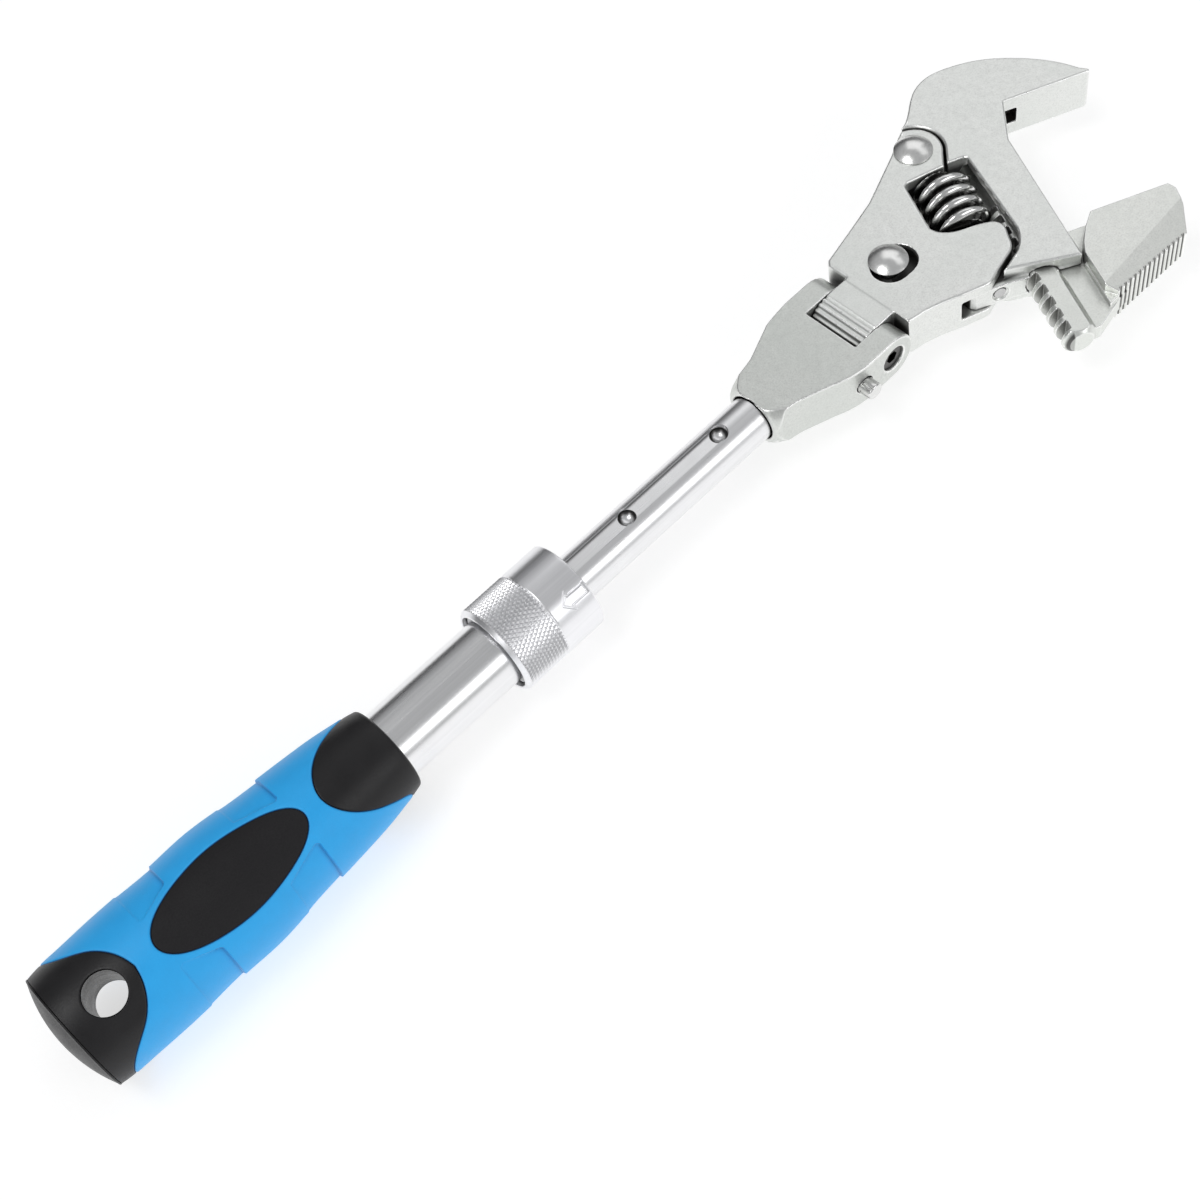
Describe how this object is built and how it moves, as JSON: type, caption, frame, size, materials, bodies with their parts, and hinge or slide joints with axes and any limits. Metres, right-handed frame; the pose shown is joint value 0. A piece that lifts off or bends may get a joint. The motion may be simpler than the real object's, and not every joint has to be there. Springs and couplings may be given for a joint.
{
  "type": "folding adjustable wrench",
  "caption": "Telescopic adjustable wrench with a folding, ratcheting head, worm-driven lower jaw with pipe teeth, knurled lock collar and two-tone soft grip.",
  "frame": {"origin": "centre of the bottom of the bounding box, with the tool lying flat and the head's broad front up", "axes": "+X along the handle towards the head, +Y towards the fixed upper jaw, +Z out of the broad front of the head"},
  "size_m": [0.3374, 0.0818, 0.0313],
  "materials": {
    "cast_steel": "shot-blasted nickel plate",
    "bright_steel": "polished plate",
    "chrome_tube": "satin chrome",
    "dark_steel": "oiled spring steel",
    "grip_black": "fine matte moulded",
    "grip_blue": "soft-touch overmould"
  },
  "bodies": {
    "handle": {"outer_tube": "chrome_tube", "grip_core": "grip_black", "grip_overmould": "grip_blue", "end_cap": "grip_black", "collar_stop_ring": "dark_steel", "collar_rear_ring": "bright_steel", "collar_washer": "bright_steel", "collar_spring": "dark_steel"},
    "collar": {"lock_collar": "chrome_tube"},
    "ball": {"lock_ball": "bright_steel"},
    "shank": {"rod": "chrome_tube", "rod_stop_bush": "dark_steel", "rod_end_screw": "dark_steel", "yoke": "cast_steel", "fold_pivot_screw": "dark_steel", "lock_pin_plug": "dark_steel", "lock_pin_spring": "dark_steel"},
    "release_pin": {"lock_pin": "bright_steel"},
    "head": {"head_body": "cast_steel", "pivot_rivet": "bright_steel", "swing_return_spring": "dark_steel"},
    "swing": {"jaw_body": "cast_steel", "limit_stud": "bright_steel", "worm_pin": "bright_steel", "worm_spring": "dark_steel"},
    "worm_gear": {"worm": "bright_steel"},
    "lower_jaw": {"movable_jaw": "cast_steel"}
  },
  "joints": [
    {"name": "collar_slide", "type": "slide", "parent": "handle", "child": "collar", "axis": [-1, 0, 0], "range_m": [0, 0.004], "stiffness_N_per_m": 600, "springref_m": -0.004, "deforming": ["collar_spring"]},
    {"name": "ball_lift", "type": "slide", "parent": "handle", "child": "ball", "axis": [0, 0, 1], "range_m": [0, 0.001]},
    {"name": "rod_slide", "type": "slide", "parent": "handle", "child": "shank", "axis": [1, 0, 0], "range_m": [-0.06, 0]},
    {"name": "release_pin_push", "type": "slide", "parent": "shank", "child": "release_pin", "axis": [0, 1, 0], "range_m": [0, 0.0024], "stiffness_N_per_m": 500, "springref_m": -0.003, "deforming": ["lock_pin_spring"]},
    {"name": "head_fold", "type": "hinge", "parent": "shank", "child": "head", "pos_m": [0.07263, 0.00456, 0.01546], "axis": [0, 1, 0], "range_deg": [-90, 90]},
    {"name": "jaw_swing", "type": "hinge", "parent": "head", "child": "swing", "pos_m": [0.12053, 0.02676, 0.01546], "axis": [0, 0, 1], "range_deg": [0, 7], "stiffness_Nm_per_rad": 0.4, "springref_deg": -17.19, "deforming": ["swing_return_spring"]},
    {"name": "worm_spin", "type": "hinge", "parent": "swing", "child": "worm_gear", "pos_m": [0.11503, 0.00899, 0.01546], "axis": [-0.4274, -0.9041, 0], "range_deg": [-135, 3708], "deforming": ["worm_spring"]},
    {"name": "jaw_slide", "type": "slide", "parent": "swing", "child": "lower_jaw", "axis": [0.4274, 0.9041, 0], "range_m": [-0.0016, 0.0413]}
  ],
  "couplings": [
    {"joint": "ball_lift", "follows": "collar_slide", "ratio": 0.25},
    {"joint": "jaw_slide", "follows": "worm_spin", "m_per_rad": 0.00063662}
  ]
}
